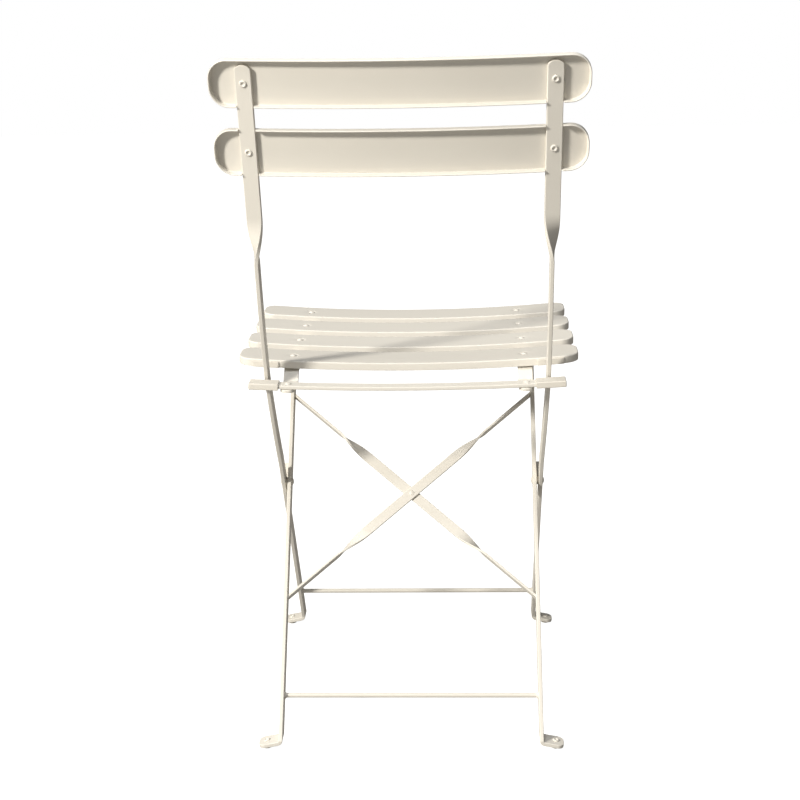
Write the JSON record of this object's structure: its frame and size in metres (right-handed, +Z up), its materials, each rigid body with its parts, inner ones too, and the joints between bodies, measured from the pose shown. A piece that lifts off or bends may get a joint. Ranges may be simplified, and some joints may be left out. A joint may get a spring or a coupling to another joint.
{
  "type": "folding bistro chair",
  "caption": "Folding slatted bistro chair: crossed flat-bar leg frames pivoted at the sides, a dished slat seat and a curved slat back, all in one paint.",
  "frame": {"origin": "middle of the chair's outline on the floor plane, below the seat", "axes": "+Z up, -Y the way a sitter faces, +X the sitter's left"},
  "size_m": [0.414, 0.4302, 0.8195],
  "materials": {
    "powder_coat": "fine textured matte powder coat, warm light grey-beige",
    "moulded_plastic": "matte moulded plastic in the same tone as the paint"
  },
  "bodies": {
    "backrest_frame": {"left_upright_and_front_leg": "powder_coat", "right_upright_and_front_leg": "powder_coat", "upper_back_slat": "powder_coat", "lower_back_slat": "powder_coat", "back_slat_rivets": "powder_coat", "front_stretcher": "powder_coat", "front_glides": "moulded_plastic", "front_glide_rivets": "powder_coat", "pivot_rivets": "powder_coat", "pivot_spacers": "powder_coat"},
    "rear_leg_frame": {"left_rear_leg": "powder_coat", "right_rear_leg": "powder_coat", "rear_stretcher": "powder_coat", "rear_glides": "moulded_plastic", "rear_glide_rivets": "powder_coat", "brace_bar_a": "powder_coat", "brace_bar_b": "powder_coat", "brace_rivet": "powder_coat", "opening_stops": "powder_coat"},
    "seat": {"seat_slat_1": "powder_coat", "seat_slat_2": "powder_coat", "seat_slat_3": "powder_coat", "seat_slat_4": "powder_coat", "left_seat_rail": "powder_coat", "right_seat_rail": "powder_coat", "left_hinge_ear": "powder_coat", "right_hinge_ear": "powder_coat", "seat_hinge_pins": "powder_coat", "seat_hinge_washers": "powder_coat", "seat_slat_rivets": "powder_coat", "seat_slat_spacers": "powder_coat", "rear_rail": "powder_coat", "left_sleeve": "moulded_plastic", "right_sleeve": "moulded_plastic", "rear_rail_rivets": "powder_coat", "left_slat_pad": "moulded_plastic", "right_slat_pad": "moulded_plastic"}
  },
  "joints": [
    {"name": "leg_fold", "type": "hinge", "parent": "backrest_frame", "child": "rear_leg_frame", "pos_m": [0, 0.00616, 0.2726], "axis": [-1, 0, 0], "range_deg": [0, 58]},
    {"name": "seat_turn", "type": "hinge", "parent": "rear_leg_frame", "child": "seat", "pos_m": [0, -0.10312, 0.41605], "axis": [1, 0, 0], "range_deg": [0, 119]}
  ],
  "couplings": [
    {"joint": "seat_turn", "follows": "leg_fold", "ratio": 2.03}
  ]
}
